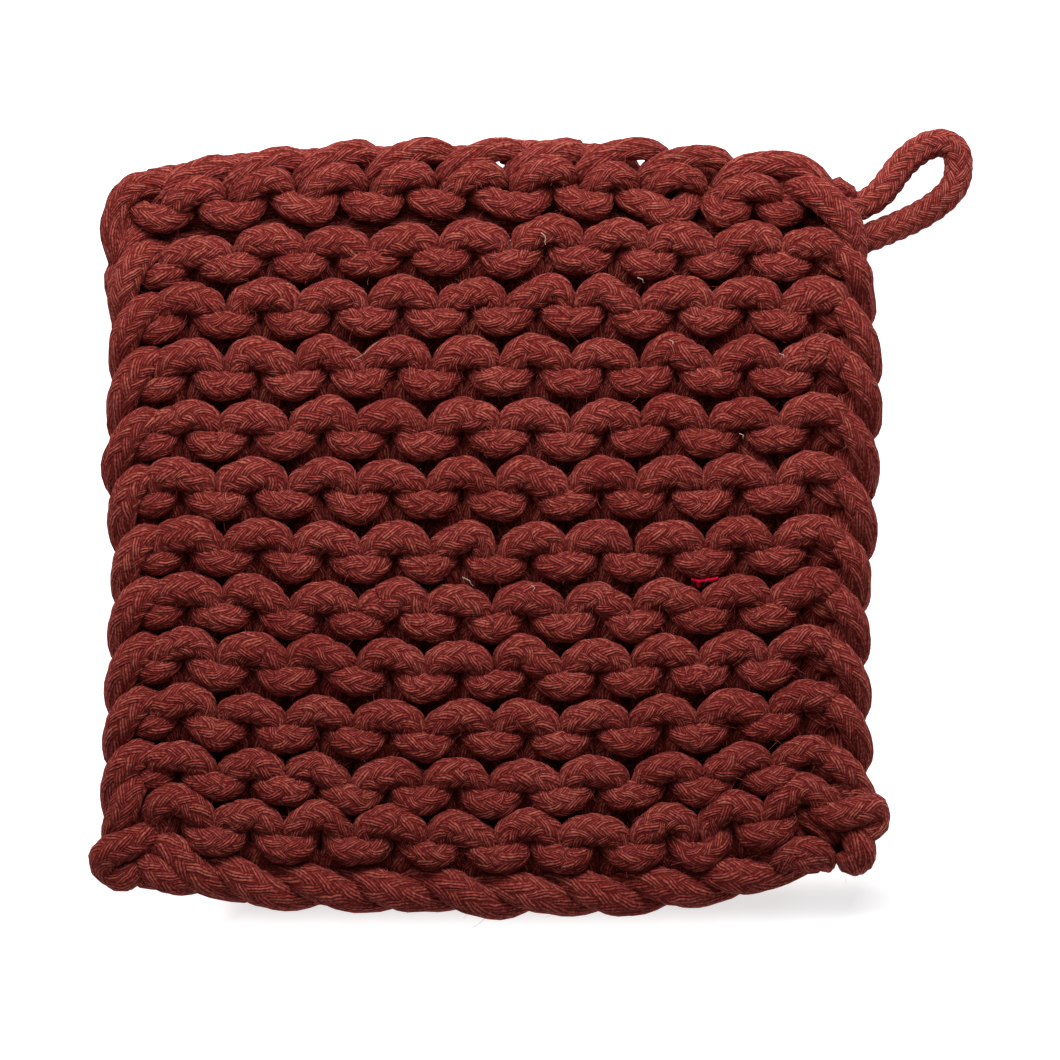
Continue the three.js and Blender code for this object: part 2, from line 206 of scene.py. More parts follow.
# Strands of the four corners and of the first and last turn at the sides: x, y, z and radius
# of the cord. The back of the mat has the same strands turned over.
CORNERS = (
    # Top left
    ((-93.8, 87.1, 9, 3), (-96.9, 88.2, 13, 3.6), (-100.9, 88.5, 14.5, 3.8), (-104.3, 87.0, 15, 3.9),
     (-106.9, 84.2, 14.5, 3.8), (-108.5, 80.8, 14, 3.6), (-109.3, 76.6, 13.5, 3.5),
     (-108.5, 71.9, 12.5, 3.4), (-107.7, 68.3, 11, 3.3), (-106.4, 64.8, 8.5, 3)),
    ((-99.0, 76.6, 10, 2.8), (-101.7, 75.6, 13, 3.2), (-104.5, 73.0, 13.5, 3.3), (-106.1, 69.3, 12, 3.2),
     (-106.6, 65.6, 9, 3)),
    ((-95.6, 71.5, 9.5, 3), (-98.8, 71.0, 13.5, 3.8), (-102.2, 68.9, 15.6, 4.3), (-105.0, 64.5, 16, 4.4),
     (-106.6, 59.5, 15, 4.2), (-106.5, 55.0, 12.5, 3.8), (-106.4, 51.0, 9, 3.4), (-105.0, 47.5, 6, 3.2)),
    ((-106.0, 69.5, 9, 2.6), (-108.6, 65.5, 8.5, 3), (-108.6, 61.0, 8, 3), (-107.6, 57.5, 7.5, 2.9),
     (-105.0, 54.5, 7, 2.8)),
    ((-97.5, 87.0, 8.5, 3.2), (-102.5, 85.2, 8.5, 3.6), (-105.6, 80.5, 8.5, 3.6), (-105.6, 74.5, 8.5, 3.4),
     (-103.5, 69.5, 8.5, 3.2)),
    # Bottom left
    ((-99.0, -69.0, 9.5, 3), (-101.4, -68.0, 13.5, 3.7), (-104.3, -69.8, 15.8, 4.3),
     (-105.8, -74.0, 16, 4.4), (-107.6, -77.9, 14.5, 4.2), (-109.0, -80.6, 11.5, 3.8),
     (-109.0, -83.2, 8, 3.4), (-107.0, -85.0, 6, 3.2)),
    ((-97.5, -80.5, 9.5, 3.2), (-100.3, -81.9, 14, 4.1), (-104.0, -83.6, 15.8, 4.5),
     (-108.7, -85.4, 15.8, 4.6), (-111.6, -88.3, 13.5, 4.4), (-109.8, -91.6, 9.5, 4.2),
     (-107.0, -93.0, 7.5, 4.2), (-104.8, -92.4, 6, 3.8), (-102.4, -89.5, 6.5, 3.2)),
    ((-103.4, -87.6, 10.0, 3.0), (-100.9, -89.2, 13.6, 3.8), (-97.4, -91.3, 15.4, 4.3),
     (-93.8, -93.2, 15.0, 4.3), (-90.2, -93.9, 12.5, 4.0), (-86.5, -94.0, 9.0, 3.4)),
    # Top right
    ((68.1, 86.6, 10, 3.2), (70.7, 87.6, 14, 4), (75.5, 85.5, 16, 4.5), (80.2, 81.4, 16.5, 4.6),
     (83.3, 77.2, 16.2, 4.3), (84.6, 72.7, 15, 3.9), (84.9, 68.8, 13, 3.6), (84.4, 65.4, 10, 3.2)),
    ((49.5, 86.6, 9, 3), (51.4, 89.7, 12, 3.5), (55.5, 92.6, 14, 3.7), (61.6, 93.7, 14.6, 3.8),
     (67.9, 93.6, 14.3, 3.8), (73.3, 91.4, 13.2, 3.7), (76.8, 88.0, 11.5, 3.5), (78.0, 83.4, 9, 3.2)),
    ((61.5, 84.5, 8.5, 3.0), (66.5, 84.0, 8, 3.6), (72.0, 81.5, 8, 3.2)),
    ((52.5, 88.5, 8.7, 3.0), (58.5, 90.6, 8.7, 3.4), (65.5, 90.6, 8.7, 3.4), (72.0, 88.6, 8.7, 3.3),
     (77.0, 84.5, 8.7, 3.0)),
    ((77.2, 85.0, 8, 3), (78.8, 87.1, 10.5, 3.1), (81.2, 87.9, 11.5, 3.1), (83.0, 86.6, 10.5, 3.0),
     (83.2, 84.2, 8, 3)),
    # Bottom right
    ((73.8, -72.8, 9.5, 3.2), (76.0, -75.4, 14, 3.9), (79.8, -76.6, 16, 4.3), (84.6, -75.8, 16.2, 4.4),
     (88.4, -74.5, 15, 4.3), (90.7, -76.1, 11.5, 4.1), (90.3, -79.4, 8, 3.8), (86.5, -81.5, 5.5, 3.5)),
    ((80.2, -71.5, 11, 3.0), (82.5, -70.0, 13.5, 3.4), (85.9, -70.4, 14, 3.4), (88.0, -73.2, 12.5, 3.2)),
    ((66.0, -74.0, 9, 3.2), (71.0, -76.0, 8.5, 3.7), (76.0, -79.0, 8, 3.7), (80.0, -84.0, 8, 3.2)),
    ((83.0, -80.5, 10, 3.5), (85.3, -82.4, 13.5, 4.3), (86.5, -85.7, 14, 4.6), (85.6, -88.6, 10, 4.3),
     (83.6, -88.3, 6.5, 3.8), (82.4, -86.0, 6, 3.2)),
    ((64.5, -90.0, 11.5, 3.3), (66.5, -87.6, 14.5, 3.7), (70.2, -85.8, 16, 3.8), (74.4, -85.8, 16, 3.8),
     (77.0, -87.4, 14, 3.5), (77.6, -89.4, 10.5, 3.0)),
)

# Loops of the chain along the top edge: x and y of the top of the inner arch, its width as a
# share of the usual one, and how far the outer arch reaches on and up beyond the usual
CHAIN = (
    (-88.3, 86.6, 0.97, 0.2, -0.5), (-70.2, 89.5, 0.95, -0.5, -0.6), (-51.4, 90.5, 1.0, 0.0, 0.5),
    (-32.8, 91.0, 0.93, 0.3, 0.7), (-13.9, 91.3, 0.94, 1.0, 0.4), (3.9, 92.4, 0.94, -1.6, -0.8),
    (21.7, 91.3, 0.80, 2.3, 0.8), (38.8, 90.8, 0.93, 2.3, -0.3), (57.4, 87.9, 1.08, 0.0, 0.0),
)
# The arches of one loop: mm along the chain and up, height above the table, cord radius. Their
# point ARCH_TOP lies at the loop's place.
CHAIN_ARCHES = {
    "inner": ((-7.4, -5.4, 9.5, 2.9), (-5.6, -3.9, 13.4, 3.4), (-2.6, -1.4, 15.8, 3.75),
              (0.9, 0.1, 16.3, 3.85), (4.0, 0.4, 16.0, 3.8), (6.4, -0.9, 14.2, 3.5), (7.2, -2.8, 10.5, 3.0)),
    "outer": ((-9.2, -3.0, 9.0, 2.9), (-7.7, -0.4, 11.4, 3.3), (-4.9, 2.1, 13.2, 3.6),
              (-0.8, 4.1, 14.3, 3.7), (3.6, 5.4, 14.6, 3.7), (7.6, 6.0, 13.8, 3.65),
              (10.6, 5.0, 11.6, 3.5), (11.3, 2.8, 8.4, 3.3), (9.0, 1.0, 6.2, 3.2)),
    "under": ((-9.5, 5.0, 8.0, 3.5), (-5.0, 5.1, 5.0, 3.7), (0.0, 5.0, 4.0, 3.7), (5.0, 5.1, 4.6, 3.7),
              (10.0, 5.2, 7.5, 3.5)),
    "middle": ((-7.0, 1.2, 9.3, 3.2), (-3.5, 2.6, 9.2, 3.6), (0.5, 3.2, 9.2, 3.6), (4.0, 2.9, 9.2, 3.3)),
    "foot": ((-8.5, -5.0, 8.0, 3.0), (-3.0, -4.8, 7.5, 3.3), (3.0, -4.8, 7.5, 3.3), (8.5, -5.0, 8.0, 3.0)),
}
ARCH_TOP = np.array((0.9, 0.3))
# How far the outer arch reaches along the chain
OUTER_REACH = 11.3
# Loops with an opening at their right shoulder, how far the arches part there for a slit or a
# hole, and where the shoulder begins along an arch
SLIT = 0.3
HOLE = 1.0
OPENINGS = {4: SLIT, 6: HOLE, 7: HOLE}
SHOULDER = 3

# Middle line of the twist along the bottom edge, x and y
TWIST_LINE = (
    (-103.2, -88.2), (-99.6, -89.3), (-92.5, -90.4), (-81.0, -91.7), (-73.4, -94.4), (-60.3, -94.9),
    (-49.8, -94.6), (-39.3, -96.2), (-28.5, -95.0), (-18.0, -96.2), (-6.5, -97.3), (4.5, -95.8),
    (16.0, -96.7), (28.0, -96.1), (41.0, -94.1), (52.0, -93.0), (62.0, -89.4), (70.7, -87.3),
    (76.5, -86.8),
)
# How far its middle lies from that line in y and from the mat's middle in height, the length of
# one whole turn, and x where the first ply is on top
TWIST_ASIDE = -0.35
TWIST_ABOVE = 0.8
TWIST_PITCH = 36.2
TWIST_START = -72.312
# How far a ply swings to the side and up and down, its radius half way, and how much thicker it
# is at the top and the bottom
PLY_SWING = 2.7
PLY_RISE = 4.3
PLY_RADIUS = 4.3
PLY_SWELL = 0.6
# Where the cast-on starts, and its loop round one stitch of the first row at the back: columns,
# from the stitch's own in the loop, course, height above the table, cord radius
CAST_ON_START = (0.55, 12.0, 8.0, 3.0)
CAST_ON_LOOP = (
    (-0.32, 11.92, 7.5, 3.4), (-0.36, 11.74, 5.4, 3.8), (-0.16, 11.53, 4.4, 4.2), (0.0, 11.5, 4.1, 4.3),
    (0.16, 11.53, 4.4, 4.2), (0.36, 11.74, 5.4, 3.8), (0.32, 11.92, 7.5, 3.4),
)
# Lengths of cord deep under the top edge: course, height, cord radius, last column, turn in radians
TOP_FILLING = ((0.42, 7.0, 3.2, 10.1, 2.0), (0.84, 8.0, 3.0, 10.3, 2.5))

# The hanging loop's route
LOOP_ROUTE = (
    (82.4, 81.2, 10.4), (85.7, 82.7, 10.2), (90.1, 84.9, 9.4), (93.5, 88.3, 8.3),
    (96.9, 92.9, 6.8), (100.5, 96.6, 5.4), (104.9, 99.3, 4.3), (108.9, 99.9, 3.9),
    (112.0, 98.0, 3.8), (112.9, 94.0, 3.8), (112.1, 89.5, 3.8), (109.4, 85.8, 3.9),
    (105.1, 82.4, 4.3), (100.1, 79.6, 5.2), (95.7, 77.6, 6.6), (91.1, 75.7, 8.0),
    (87.0, 74.2, 8.8), (83.6, 73.6, 9.0),
)
LOOP_DIAMETER = 7.5
# How far the crests of its strands stand out beyond that diameter, and above their grooves
LOOP_CREST = 0.35
LOOP_RELIEF = 1.0

# Short loose fibres: how many there are for each point of a cord's mesh, on the two faces of the
# mat and all over, and between what lengths and radii they vary
FACE_SHARE = 0.016
ALL_OVER_SHARE = 0.011
FIBRE_LENGTH = (1.0, 3.6)
FIBRE_RADIUS = (0.03, 0.055)
# Long pale ones that can be told apart on the front: radius, and x and y of both ends
STRAY_RADIUS = 0.13
STRAYS = (
    ((-46.1, 42.3), (-39.3, 47.0)), ((2.9, 75.5), (4.6, 72.3)), ((28.0, 63.8), (30.2, 62.4)),
    ((36.2, 47.6), (37.8, 46.2)), ((54.5, 23.2), (56.1, 21.8)), ((-17.6, -14.2), (-14.2, -16.6)),
    ((0.4, -16.4), (1.4, -18.0)), ((64.9, 44.0), (66.8, 42.8)),
)

RIBBON_THICKNESS = 0.5

# Mesh of a cord: faces across one strand of the braid, how much its section is pressed flat in
# the knitting, how much coarser it gets deep inside, where that is from the mat's middle, how far
# the step between strands is rounded as a share of a strand, and the least height above the table
FACES_A_STRAND = 3
PRESSED = 0.88
INSIDE_COARSER = 4.5
INSIDE = 5
ROUNDED = 0.12
LEAST_HEIGHT = 0.25

# Camera, floor and lights in m and W, but for the camera's sensor in mm. The view's middle lies
# VIEW_DOWN below the mat's, and its width is measured at FOCUS_HEIGHT. The floor glows white, a
# painted light that washes out the shadows cast on it, but for a strip along the near edge, where
# it glows dimmer and the shadow is let through. Each of the strip's lines gives an axis, where the
# floor's glow is dim along it and where it is white. A light has its place, its size and its power.
SENSOR = 36
VIEW_DOWN = 0.001965
FOCUS_HEIGHT = 0.012
FLOOR_REACH = 3.0
SHADOW_STRIP = (("Y", -0.099, -0.090), ("Y", -0.1003, -0.1095), ("X", -0.073, -0.088))
FLOOR_DIM = 0.66
FLOOR_WHITE = 1.05
ROOM_LIGHT = 0.13
LIGHTS = {
    "Main light": ((0.0, 0.385, 0.375), (0.6, 0.25), 3.5),
    "Fill light": ((-0.3, 0.55, 1.15), (0.8, 0.8), 2.8),
}


class TrivetSizes(PropertyGroup):
    """Sizes and colours of the trivet that a user may change"""

    strands: IntProperty(
        name="Strands each way",
        description="How many strands of the braid run round the cord in each direction",
        default=8, min=4, max=16,
    )
    lead: FloatProperty(
        name="Lead of the braid",
        description="Length of cord in which one strand goes once round it",
        default=0.0315, min=0.01, max=0.2, unit="LENGTH",
    )
    loop_lead: FloatProperty(
        name="Lead of the loop's braid",
        description="The same in the hanging loop, which isn't pulled as tight",
        default=0.029, min=0.01, max=0.2, unit="LENGTH",
    )
    relief: FloatProperty(
        name="Relief of the strands",
        description="How far a strand stands above the groove beside it",
        default=0.0008, min=0.0, max=0.002, unit="LENGTH",
    )
    cord_colour: FloatVectorProperty(
        name="Cord colour",
        description="Colour of the dyed cotton",
        default=(0.20, 0.0225, 0.0190), subtype="COLOR", min=0.0, max=1.0,
    )
    # Painted highlight: the paler colour the cord takes on the crests of its raised yarns
    crest_highlight_colour: FloatVectorProperty(
        name="Crest highlight colour",
        description="Colour of the raised yarns, a painted highlight",
        default=(0.43, 0.096, 0.080), subtype="COLOR", min=0.0, max=1.0,
    )
    # Painted shade: the dark colour the cord takes deep in the grooves between its strands
    groove_shade_colour: FloatVectorProperty(
        name="Groove shade colour",
        description="Painted shade deep between the strands",
        default=(0.022, 0.0008, 0.0010), subtype="COLOR", min=0.0, max=1.0,
    )
    ribbon_colour: FloatVectorProperty(
        name="Tab colour",
        description="Colour of the ribbon tab",
        default=(0.78, 0.002, 0.042), subtype="COLOR", min=0.0, max=1.0,
    )
    floor_colour: FloatVectorProperty(
        name="Floor colour",
        description="Colour of the plain floor",
        default=(0.7, 0.7, 0.7), subtype="COLOR", min=0.0, max=1.0,
    )
    frame_width: FloatProperty(
        name="Width of the view",
        description="How much the camera sees from side to side, at the height of the stitches",
        default=0.2777, min=0.05, max=2.0, unit="LENGTH",
    )
    camera_height: FloatProperty(
        name="Camera height",
        description="Height of the camera above the floor",
        default=1.5, min=0.3, max=5.0, unit="LENGTH",
    )


def sizes():
    return bpy.context.scene.trivet_sizes


def put(name, data):
    """A new object in the scene"""
    thing = bpy.data.objects.new(name, data)
    bpy.context.scene.collection.objects.link(thing)
    return thing


# Places on the mat
def place(course, column, height):
    """A point of the mat in mm from its course, its column and its height above the table"""
    y, left_drop, right_drop, left, right = (
        np.interp(course, COURSES[:, 0], COURSES[:, k]) for k in range(1, 6)
    )
    own = column
    side = 2 * column / COLUMNS - 1
    column = column + np.interp(course, *LEAN) * np.clip(1 - side ** 10, 0, 1)
    across = column / COLUMNS
    side = 2 * across - 1
    drop = np.where(side < 0, left_drop, right_drop) * side ** 2
    inside = np.clip(1 - side ** 8, 0, 1)
    wave_x = inside * UNEVEN * np.sin(1.9 * course + 0.8 * column)
    wave_y = inside * UNEVEN * np.sin(2.7 * column + 1.3 * course)
    near = np.exp(-((course - TUGS[:, 0]) / TUG_COURSES) ** 2 - ((own - TUGS[:, 1]) / TUG_COLUMNS) ** 2)
    tug_x, tug_y = near @ TUGS[:, 2:]
    x = left + (right - left) * across + wave_x + tug_x
    return np.array([x, y - drop + wave_y + tug_y, height]) + MIDDLE


def on_mat(points, course=0.0, column=0.0):
    """A cord's control points from their columns, courses, heights and radii, counted from a
    course and a column"""
    return [(*place(course + c, column + k, z), radius) for k, c, z, radius in points]


# Lines and braids
def natural_spline(points, step=0.3):
    """Points every step mm or so on the smoothest line through the rows of x, y, z, radius"""
    points = np.asarray(points, float)
    gaps = np.linalg.norm(np.diff(points[:, :3], axis=0), axis=1)
    # Knots that follow less than the whole gap keep the line from swinging out in tight turns
    knots = np.concatenate([[0], np.cumsum(np.maximum(gaps, 0.2) ** 0.75)])
    spans = np.diff(knots)
    count = len(points)
    system = np.eye(count)
    target = np.zeros((count, points.shape[1]))
    slope = np.diff(points, axis=0) / spans[:, None]
    for i in range(1, count - 1):
        system[i, i - 1] = spans[i - 1]
        system[i, i] = 2 * (spans[i - 1] + spans[i])
        system[i, i + 1] = spans[i]
        target[i] = 6 * (slope[i] - slope[i - 1])
    bend = np.linalg.solve(system, target)
    where, part = [], []
    for i in range(count - 1):
        pieces = max(2, int(round(gaps[i] / step)))
        where += [i] * pieces
        part += list(np.arange(pieces) / pieces)
    where = np.array(where + [count - 2])
    s = np.array(part + [1.0])[:, None]
    bends = ((1 - s) ** 3 - (1 - s)) * bend[where] + (s ** 3 - s) * bend[where + 1]
    return points[where] * (1 - s) + points[where + 1] * s + spans[where][:, None] ** 2 / 6 * bends


def untwisted_sides(centre):
    """Unit vectors to the side and upwards all along a line, turning no more than it does"""
    ahead = np.gradient(centre, axis=0)
    ahead /= np.linalg.norm(ahead, axis=1)[:, None]
    side = np.cross(ahead[0], (0.0, 0.0, 1.0))
    if np.linalg.norm(side) < 0.3:
        side = np.cross(ahead[0], (0.0, 1.0, 0.0))
    sides = []
    for way in ahead:
        side = side - way * np.dot(side, way)
        side = side / np.linalg.norm(side)
        sides.append(side)
    sides = np.array(sides)
    return sides, np.cross(ahead, sides)


def strand_height(a, b):
    """Height from 0 to 1 of a two-over-two braid where strand a of one way meets b of the other"""
    ia, ib = np.floor(a), np.floor(b)
    ta, tb = a - ia, b - ib
    turn = np.mod(ia + ib, 4)
    over = turn < 2
    across = np.where(over, ta, tb)
    along = np.where(over, (turn + tb) / 2, (turn - 2 + ta) / 2)
    crown = np.clip(1 - (2 * across - 1) ** 2, 0, 1) ** 0.6
    return crown * (0.25 + 0.75 * np.sin(math.pi * np.clip(along, 0, 1)) ** 0.7)


class CordMesh:
    """Collects braided cords into one mesh, with the lay of the braid as its UV map"""

    def __init__(self):
        self.points = []
        self.quads = []
        self.lay = []
        self.triangles = []
        self.count = 0

    def add(self, control, lead=None, relief=None, pressed=PRESSED, coarser=INSIDE_COARSER, phase=0.0):
        """A closed braided cord along control points in mm, each with its radius"""
        strands = sizes().strands
        lead = lead or sizes().lead / MM
        relief = relief or sizes().relief / MM
        line = natural_spline(control)
        steps = np.linalg.norm(np.diff(line[:, :3], axis=0), axis=1)
        middle = (line[1:, 2] + line[:-1, 2]) / 2
        deep = np.clip(2 * (1 - np.abs(middle - HALF) / INSIDE), 0, 1)
        run = np.concatenate([[0], np.cumsum(steps / (1 + (coarser - 1) * deep))])
        rings = max(4, 2 * int(round(run[-1] / (lead / (2 * strands * FACES_A_STRAND)) / 2)))
        at = np.linspace(0, run[-1], rings + 1)
        path = np.stack([np.interp(at, run, line[:, k]) for k in range(4)], axis=1)
        centre, radius = path[:, :3], path[:, 3]
        sides, ups = untwisted_sides(centre)
        across = strands * FACES_A_STRAND
        k = np.arange(rings + 1)[:, None]
        turn = (np.arange(across)[None, :] + (k % 2) / 2) / across
        angle = 2 * math.pi * turn + phase
        a = strands * turn + k / (2.0 * FACES_A_STRAND)
        b = strands * turn - k / (2.0 * FACES_A_STRAND)
        beside = (-ROUNDED, ROUNDED)
        height = sum(strand_height(a + da, b + db) for da in beside for db in beside) / 4
        reach = radius[:, None] - relief * (1 - height)
        out = (
            np.cos(angle)[..., None] * sides[:, None, :] + np.sin(angle)[..., None] * ups[:, None, :]
        ) * reach[..., None]
        out[..., 2] *= pressed
        points = centre[:, None, :] + out
        # A cord that would sink into the table is pressed flat on it
        low = points[..., 2]
        points[..., 2] = np.where(low < LEAST_HEIGHT, LEAST_HEIGHT * np.exp(low / LEAST_HEIGHT - 1), low)
        self.points += [points.reshape(-1, 3), centre[[0, -1]]]
        self.add_faces(rings, across)

    def add_faces(self, rings, across):
        """The faces of the last cord: lozenges along its strands, and triangles that close it"""
        first = self.count
        last = first + rings * across
        tip = last + across
        self.count = tip + 2
        ring, spot = np.meshgrid(np.arange(rings - 1), np.arange(across), indexing="ij")
        odd = ring % 2
        ring = np.stack([ring, ring + 1, ring + 2, ring + 1], axis=-1).reshape(-1, 4)
        spot = np.stack([spot, spot + odd, spot, spot - 1 + odd], axis=-1).reshape(-1, 4)
        self.quads.append(first + ring * across + np.mod(spot, across))
        self.lay.append(np.stack([ring / (2.0 * across), (spot + (ring % 2) / 2) / across], axis=-1))
        here = np.arange(across)
        there = (here + 1) % across
        closing = (
            (first + across + here, first + here, first + there),
            (last - across + here, last + there, last + here),
            (tip + 0 * here, first + there, first + here),
            (tip + 1 + 0 * here, last + here, last + there),
        )
        self.triangles += [np.stack(corners, axis=-1) for corners in closing]

    def make(self, name, material):
        """The cords as one piece"""
        quads = np.concatenate(self.quads)
        triangles = np.concatenate(self.triangles)
        corners = np.concatenate([quads.ravel(), triangles.ravel()])
        starts = np.concatenate([np.arange(len(quads)) * 4, len(quads) * 4 + np.arange(len(triangles)) * 3])
        lay = np.concatenate([*(part.reshape(-1, 2) for part in self.lay), np.zeros((triangles.size, 2))])
        mesh = bpy.data.meshes.new(name)
        mesh.vertices.add(self.count)
        mesh.vertices.foreach_set("co", (np.concatenate(self.points) * MM).ravel())
        mesh.loops.add(len(corners))
        mesh.loops.foreach_set("vertex_index", corners.astype(np.int32))
        mesh.polygons.add(len(starts))
        mesh.polygons.foreach_set("loop_start", starts.astype(np.int32))
        mesh.update(calc_edges=True)
        mesh.polygons.foreach_set("use_smooth", np.ones(len(starts), bool))
        mesh.uv_layers.new(name="lay").data.foreach_set("uv", lay.ravel().astype(np.float32))
        mesh.validate()
        mesh.materials.append(material)
        return put(name, mesh)


# Material nodes
def add_node(tree, kind, inputs=None, **settings):
    """A node with its settings; each input is a number or colour, or another node's output"""
    node = tree.nodes.new(kind)
    for name, value in settings.items():
        setattr(node, name, value)
    for name, value in (inputs or {}).items():
        if isinstance(value, bpy.types.NodeSocket):
            tree.links.new(value, node.inputs[name])
        else:
            node.inputs[name].default_value = value
    return node


def maths(tree):
    """A short way to write the tree's sums: m("ADD", a, b) is the socket of a plus b"""
    def m(operation, *values):
        return add_node(tree, "ShaderNodeMath", dict(enumerate(values)), operation=operation).outputs[0]

    return m


def mixed(tree, share, first, second, blend="MIX"):
    """The socket of two colours mixed or multiplied"""
    inputs = {"Factor": share, "A": first, "B": second}
    return add_node(tree, "ShaderNodeMix", inputs, data_type="RGBA", blend_type=blend).outputs["Result"]


def add_bump(tree, shader, height, distance):
    bump = add_node(tree, "ShaderNodeBump", {"Strength": 1.0, "Distance": distance, "Height": height})
    tree.links.new(bump.outputs[0], shader.inputs["Normal"])


def new_group(name, numbers_in, numbers_out, **vectors):
    """A node group and its two ends: numbers that come in with their usual values, numbers that
    go out, and vectors either way"""
    tree = bpy.data.node_groups.new(name, "ShaderNodeTree")
    face = tree.interface
    for socket, way in vectors.items():
        face.new_socket(socket, in_out=way, socket_type="NodeSocketVector")
    for socket, usual in numbers_in.items():
        face.new_socket(socket, in_out="INPUT", socket_type="NodeSocketFloat").default_value = usual
    for socket in numbers_out:
        face.new_socket(socket, in_out="OUTPUT", socket_type="NodeSocketFloat")
    return tree, tree.nodes.new("NodeGroupInput").outputs, tree.nodes.new("NodeGroupOutput").inputs


def new_material(name, roughness, specular):
    """A material with its node tree and its shader"""
    material = bpy.data.materials.new(name)
    material.use_nodes = True
    shader = material.node_tree.nodes["Principled BSDF"]
    shader.inputs["Roughness"].default_value = roughness
    shader.inputs["Specular IOR Level"].default_value = specular
    return material, material.node_tree, shader


def braid_group():
    """Strands and yarns of the braid from the lay of the cord"""
    found = bpy.data.node_groups.get("Braid")
    if found:
        return found
    usual = {"Strands": 8.0, "Yarns": 3.5, "Yarn relief": 0.3, "Strand relief": 0.22}
    tree, enter, leave = new_group("Braid", usual, ("Height", "Groove", "Yarn", "Tone"), Lay="INPUT")
    m = maths(tree)
    lay = add_node(tree, "ShaderNodeSeparateXYZ", {0: enter["Lay"]}).outputs
    a = m("MULTIPLY", m("ADD", lay[1], lay[0]), enter["Strands"])
    b = m("MULTIPLY", m("SUBTRACT", lay[1], lay[0]), enter["Strands"])
    ia, ib = m("FLOOR", a), m("FLOOR", b)
    ta, tb = m("FRACT", a), m("FRACT", b)
    turn = m("FLOORED_MODULO", m("ADD", ia, ib), 4.0)
    over = m("LESS_THAN", turn, 1.5)

    def on_top(first, second):
        """first where strand a lies on top, and second where b does"""
        return m("MULTIPLY_ADD", over, m("SUBTRACT", first, second), second)

    def half_wave(part, power):
        return m("POWER", m("MAXIMUM", m("SINE", m("MULTIPLY", part, math.pi)), 0.0), power)

    across = on_top(ta, tb)
    along = m("MULTIPLY", on_top(m("ADD", turn, tb), m("ADD", m("SUBTRACT", turn, 2.0), ta)), 0.5)
    off = m("MULTIPLY_ADD", across, 2.0, -1.0)
    crown = m("POWER", m("MAXIMUM", m("SUBTRACT", 1.0, m("MULTIPLY", off, off)), 0.0), 0.6)
    strand = m("MULTIPLY", crown, m("MULTIPLY_ADD", half_wave(along, 0.6), 0.65, 0.35))
    yarns = m("MULTIPLY", across, enter["Yarns"])
    ridge = half_wave(m("FRACT", yarns), 0.8)
    # Every yarn has its own tone, from the strand's number and its own
    number = on_top(m("ADD", ia, 57.3), m("MULTIPLY", ib, 1.7))
    which = add_node(tree, "ShaderNodeCombineXYZ", {0: number, 1: m("FLOOR", yarns)})
    tone = add_node(tree, "ShaderNodeTexWhiteNoise", {"Vector": which.outputs[0]}, noise_dimensions="2D")
    yarn_height = m("MULTIPLY", ridge, m("MULTIPLY_ADD", strand, 0.7, 0.3))
    strand_part = m("MULTIPLY", strand, enter["Strand relief"])
    height = m("MULTIPLY_ADD", yarn_height, enter["Yarn relief"], strand_part)
    tree.links.new(height, leave["Height"])
    # Groove, the strand's crown, and Yarn, each yarn's ridge, go into the cord's colour as painted shade in
    # the grooves and painted highlight on the crests
    tree.links.new(strand, leave["Groove"])
    tree.links.new(ridge, leave["Yarn"])
    tree.links.new(tone.outputs["Value"], leave["Tone"])
    return tree


def fibre_group():
    """Fine cotton fibres and uneven dye over any surface, from the piece's own place"""
    found = bpy.data.node_groups.get("Cotton fibres")
    if found:
        return found
    usual = {"Fibre size": 0.0008, "Patch size": 0.02}
    tree, enter, leave = new_group("Cotton fibres", usual, ("Fibre", "Patch"), Wander="OUTPUT")
    m = maths(tree)
    where = tree.nodes.new("ShaderNodeTexCoord").outputs["Object"]

    def noise(scale, detail):
        return add_node(tree, "ShaderNodeTexNoise", {"Vector": where, "Scale": scale, "Detail": detail})

    drift = noise(280.0, 1.0).outputs["Color"]
    centred = add_node(tree, "ShaderNodeVectorMath", {0: drift, 1: (0.5, 0.5, 0.5)}, operation="SUBTRACT")
    tree.links.new(centred.outputs[0], leave["Wander"])
    for name, detail in (("Fibre", 1.5), ("Patch", 2.0)):
        grain = noise(m("DIVIDE", 1.0, enter[name + " size"]), detail)
        tree.links.new(grain.outputs["Fac"], leave[name])
    return tree


